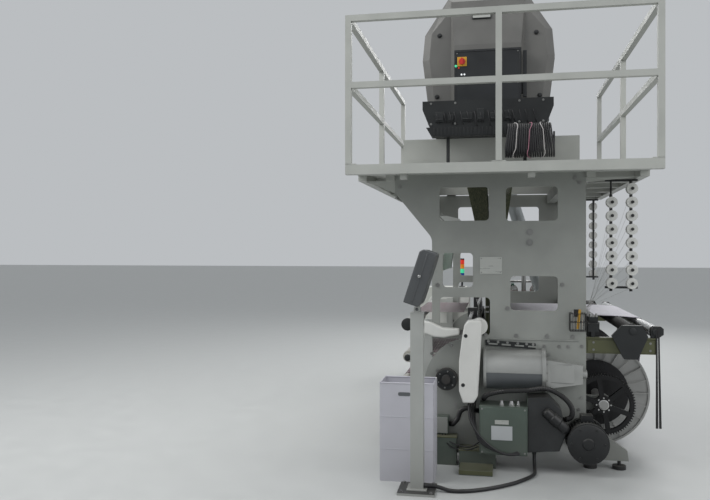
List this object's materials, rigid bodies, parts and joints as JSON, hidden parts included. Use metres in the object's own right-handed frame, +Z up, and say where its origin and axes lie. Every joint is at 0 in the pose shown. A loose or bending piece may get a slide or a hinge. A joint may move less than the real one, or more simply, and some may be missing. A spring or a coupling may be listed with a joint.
{
  "type": "power loom",
  "caption": "Narrow rapier loom for woven labels with an electronic jacquard head on a gantry, service platform, full warp beam, control cabinet, weft feeders and pendant.",
  "frame": {"origin": "middle of the loom's whole footprint, on the floor", "axes": "+X from the weaver's side to the warp side, +Y from the drive side to the weft side, +Z up"},
  "size_m": [2.118, 4.722, 3.595],
  "materials": {
    "frame_grey": "satin light grey paint",
    "platform_grey": "satin pale grey paint",
    "black_steel": "matt black paint with dust",
    "cover_grey": "satin dark silver grey paint",
    "vent_grey": "matt dark grey paint",
    "box_black": "satin black paint",
    "knob_red": "red rotary handle",
    "gearbox_dark": "painted castings with dust",
    "tube_grey": "smoky tube around the shaft",
    "steel": "turned and ground steel",
    "harness_green": "dense bundle of coated cords",
    "board_wood": "drilled comber board",
    "spring_black": "spring box",
    "lay_grey": "satin slate grey paint",
    "guide_dark": "burnished guide blocks",
    "cast_silver": "cast aluminium housing",
    "cover_white": "moulded off-white cover",
    "beam_grey": "pale grey front beams",
    "grip_dark": "grip-coated take-up roller",
    "roller_pale": "anodised rollers",
    "label_cloth": "woven labels, dark red with pale motifs",
    "warp_white": "dense sheet of pale warp ends",
    "beam_alu": "ribbed flanges with a bright rim",
    "gear_black": "oiled spoked gear",
    "olive_paint": "olive enamel",
    "motor_black": "black motor casting",
    "box_green": "green grey enamel",
    "hose_black": "black hose",
    "cable_black": "black cable",
    "rack_black": "black rods with white spools",
    "post_grey": "light grey post on a dark floor plate",
    "screen_grey": "dark grey screen housing",
    "bin_white": "pale lavender-white sheet bin",
    "cabinet_grey": "textured light grey enamel",
    "tower_light": "red, amber, green and blue lenses",
    "lamp_white": "white lamp housing with a lit panel",
    "stand_steel": "plated tube stand",
    "feeder_green": "dark green housings",
    "pad_black": "rubber pads"
  },
  "bodies": {
    "loom": {"side_frames": "frame_grey", "gantry_plates": "frame_grey", "cross_members": "frame_grey", "levelling_feet": "pad_black", "head_deck": "platform_grey", "platform": "platform_grey", "guard_rail": "platform_grey", "head_base": "black_steel", "head_cover_near": "cover_grey", "head_cover_far": "cover_grey", "head_side_panels": "vent_grey", "head_control_box": "box_black", "jacquard_gearboxes": "gearbox_dark", "shaft_cover": "tube_grey", "comber_board": "board_wood", "harness_springs": "spring_black", "rapier_guides": "guide_dark", "drive_housing": "cast_silver", "drive_cover": "cover_white", "front_shields": "cover_white", "breast_beam": "beam_grey", "woven_labels": "label_cloth", "warp_sheet": "warp_white", "beam_brackets": "frame_grey", "rear_arms": "olive_paint", "back_rest_brackets": "black_steel", "stop_motion": "black_steel", "main_motor": "motor_black", "drive_box": "box_green", "hoses": "hose_black", "cable_coil": "cable_black", "spool_rack": "rack_black", "pendant_post": "post_grey", "pendant_cable": "cable_black", "waste_bin": "bin_white", "control_cabinet": "cabinet_grey", "stack_light": "tower_light", "work_lamp": "lamp_white", "feeder_stand": "stand_steel", "weft_feeders": "feeder_green"},
    "main_switch": {"isolator_knob": "knob_red"},
    "head_shaft": {"jacquard_shaft": "steel"},
    "harness_a": {"harness_rear": "harness_green"},
    "harness_b": {"harness_front": "harness_green"},
    "lay": {"sley": "lay_grey", "reed": "steel"},
    "rapier_a": {"rapier_near": "steel"},
    "rapier_b": {"rapier_far": "steel"},
    "take_up": {"take_up_roller": "grip_dark"},
    "press": {"press_roller": "steel"},
    "front_guide": {"front_roller": "roller_pale"},
    "delivery": {"delivery_roller": "roller_pale"},
    "beam": {"warp_beam": "beam_alu", "warp_roll": "warp_white", "beam_gear": "gear_black"},
    "pinion": {"let_off_pinion": "steel"},
    "whip": {"whip_roller": "grip_dark"},
    "rear_guide": {"guide_roller": "steel"},
    "screen": {"pendant_screen": "screen_grey"},
    "door": {"cabinet_door": "cabinet_grey"}
  },
  "joints": [
    {"name": "beam_spin", "type": "hinge", "parent": "loom", "child": "beam", "pos_m": [0.659, -0.281, 0.42], "axis": [0, 1, 0], "continuous": true},
    {"name": "pinion_spin", "type": "hinge", "parent": "loom", "child": "pinion", "pos_m": [0.4222, -0.281, 0.50619], "axis": [0, 1, 0], "continuous": true},
    {"name": "rear_guide_spin", "type": "hinge", "parent": "loom", "child": "rear_guide", "pos_m": [0.986, -0.281, 0.94], "axis": [0, 1, 0], "continuous": true},
    {"name": "whip_spin", "type": "hinge", "parent": "loom", "child": "whip", "pos_m": [0.831, -0.281, 0.95], "axis": [0, 1, 0], "continuous": true},
    {"name": "take_up_spin", "type": "hinge", "parent": "loom", "child": "take_up", "pos_m": [-0.422, -0.281, 0.588], "axis": [0, 1, 0], "continuous": true},
    {"name": "press_spin", "type": "hinge", "parent": "loom", "child": "press", "pos_m": [-0.36, -0.281, 0.48061], "axis": [0, 1, 0], "continuous": true},
    {"name": "front_guide_spin", "type": "hinge", "parent": "loom", "child": "front_guide", "pos_m": [-0.709, -0.281, 0.718], "axis": [0, 1, 0], "continuous": true},
    {"name": "delivery_spin", "type": "hinge", "parent": "loom", "child": "delivery", "pos_m": [-0.779, -0.281, 0.458], "axis": [0, 1, 0], "continuous": true},
    {"name": "head_shaft_spin", "type": "hinge", "parent": "loom", "child": "head_shaft", "pos_m": [0.448, 1.319, 0.86], "axis": [-0.299, 0, 0.9543], "continuous": true},
    {"name": "harness_lift", "type": "slide", "parent": "loom", "child": "harness_a", "axis": [0, 0, 1], "range_m": [-0.03, 0.03], "stiffness_N_per_m": 20000},
    {"name": "harness_counter", "type": "slide", "parent": "loom", "child": "harness_b", "axis": [0, 0, 1], "range_m": [-0.03, 0.03], "stiffness_N_per_m": 20000},
    {"name": "lay_swing", "type": "hinge", "parent": "loom", "child": "lay", "pos_m": [-0.159, -0.281, 0.33], "axis": [0, 1, 0], "range_deg": [-8, 0]},
    {"name": "rapier_in", "type": "slide", "parent": "loom", "child": "rapier_a", "axis": [0, 1, 0], "range_m": [0, 0.56]},
    {"name": "rapier_out", "type": "slide", "parent": "loom", "child": "rapier_b", "axis": [0, 1, 0], "range_m": [-0.56, 0]},
    {"name": "screen_tilt", "type": "hinge", "parent": "loom", "child": "screen", "pos_m": [-0.557, -2.231, 1.133], "axis": [0, 1, 0], "range_deg": [-20, 20]},
    {"name": "door_hinge", "type": "hinge", "parent": "loom", "child": "door", "pos_m": [-0.439, 2.341, 0.58], "axis": [0, 0, -1], "range_deg": [0, 120]},
    {"name": "main_switch_turn", "type": "hinge", "parent": "loom", "child": "main_switch", "pos_m": [-0.351, -0.786, 3.025], "axis": [0, 1, 0], "range_deg": [0, 90]}
  ],
  "couplings": [
    {"joint": "pinion_spin", "follows": "beam_spin", "ratio": -5},
    {"joint": "rear_guide_spin", "follows": "beam_spin", "ratio": 7.5},
    {"joint": "whip_spin", "follows": "beam_spin", "ratio": 7.5},
    {"joint": "press_spin", "follows": "take_up_spin", "ratio": -2.4286},
    {"joint": "front_guide_spin", "follows": "take_up_spin", "ratio": -2.0732},
    {"joint": "delivery_spin", "follows": "take_up_spin", "ratio": -2.0732},
    {"joint": "harness_counter", "follows": "harness_lift", "ratio": -1},
    {"joint": "rapier_out", "follows": "rapier_in", "ratio": -1}
  ]
}
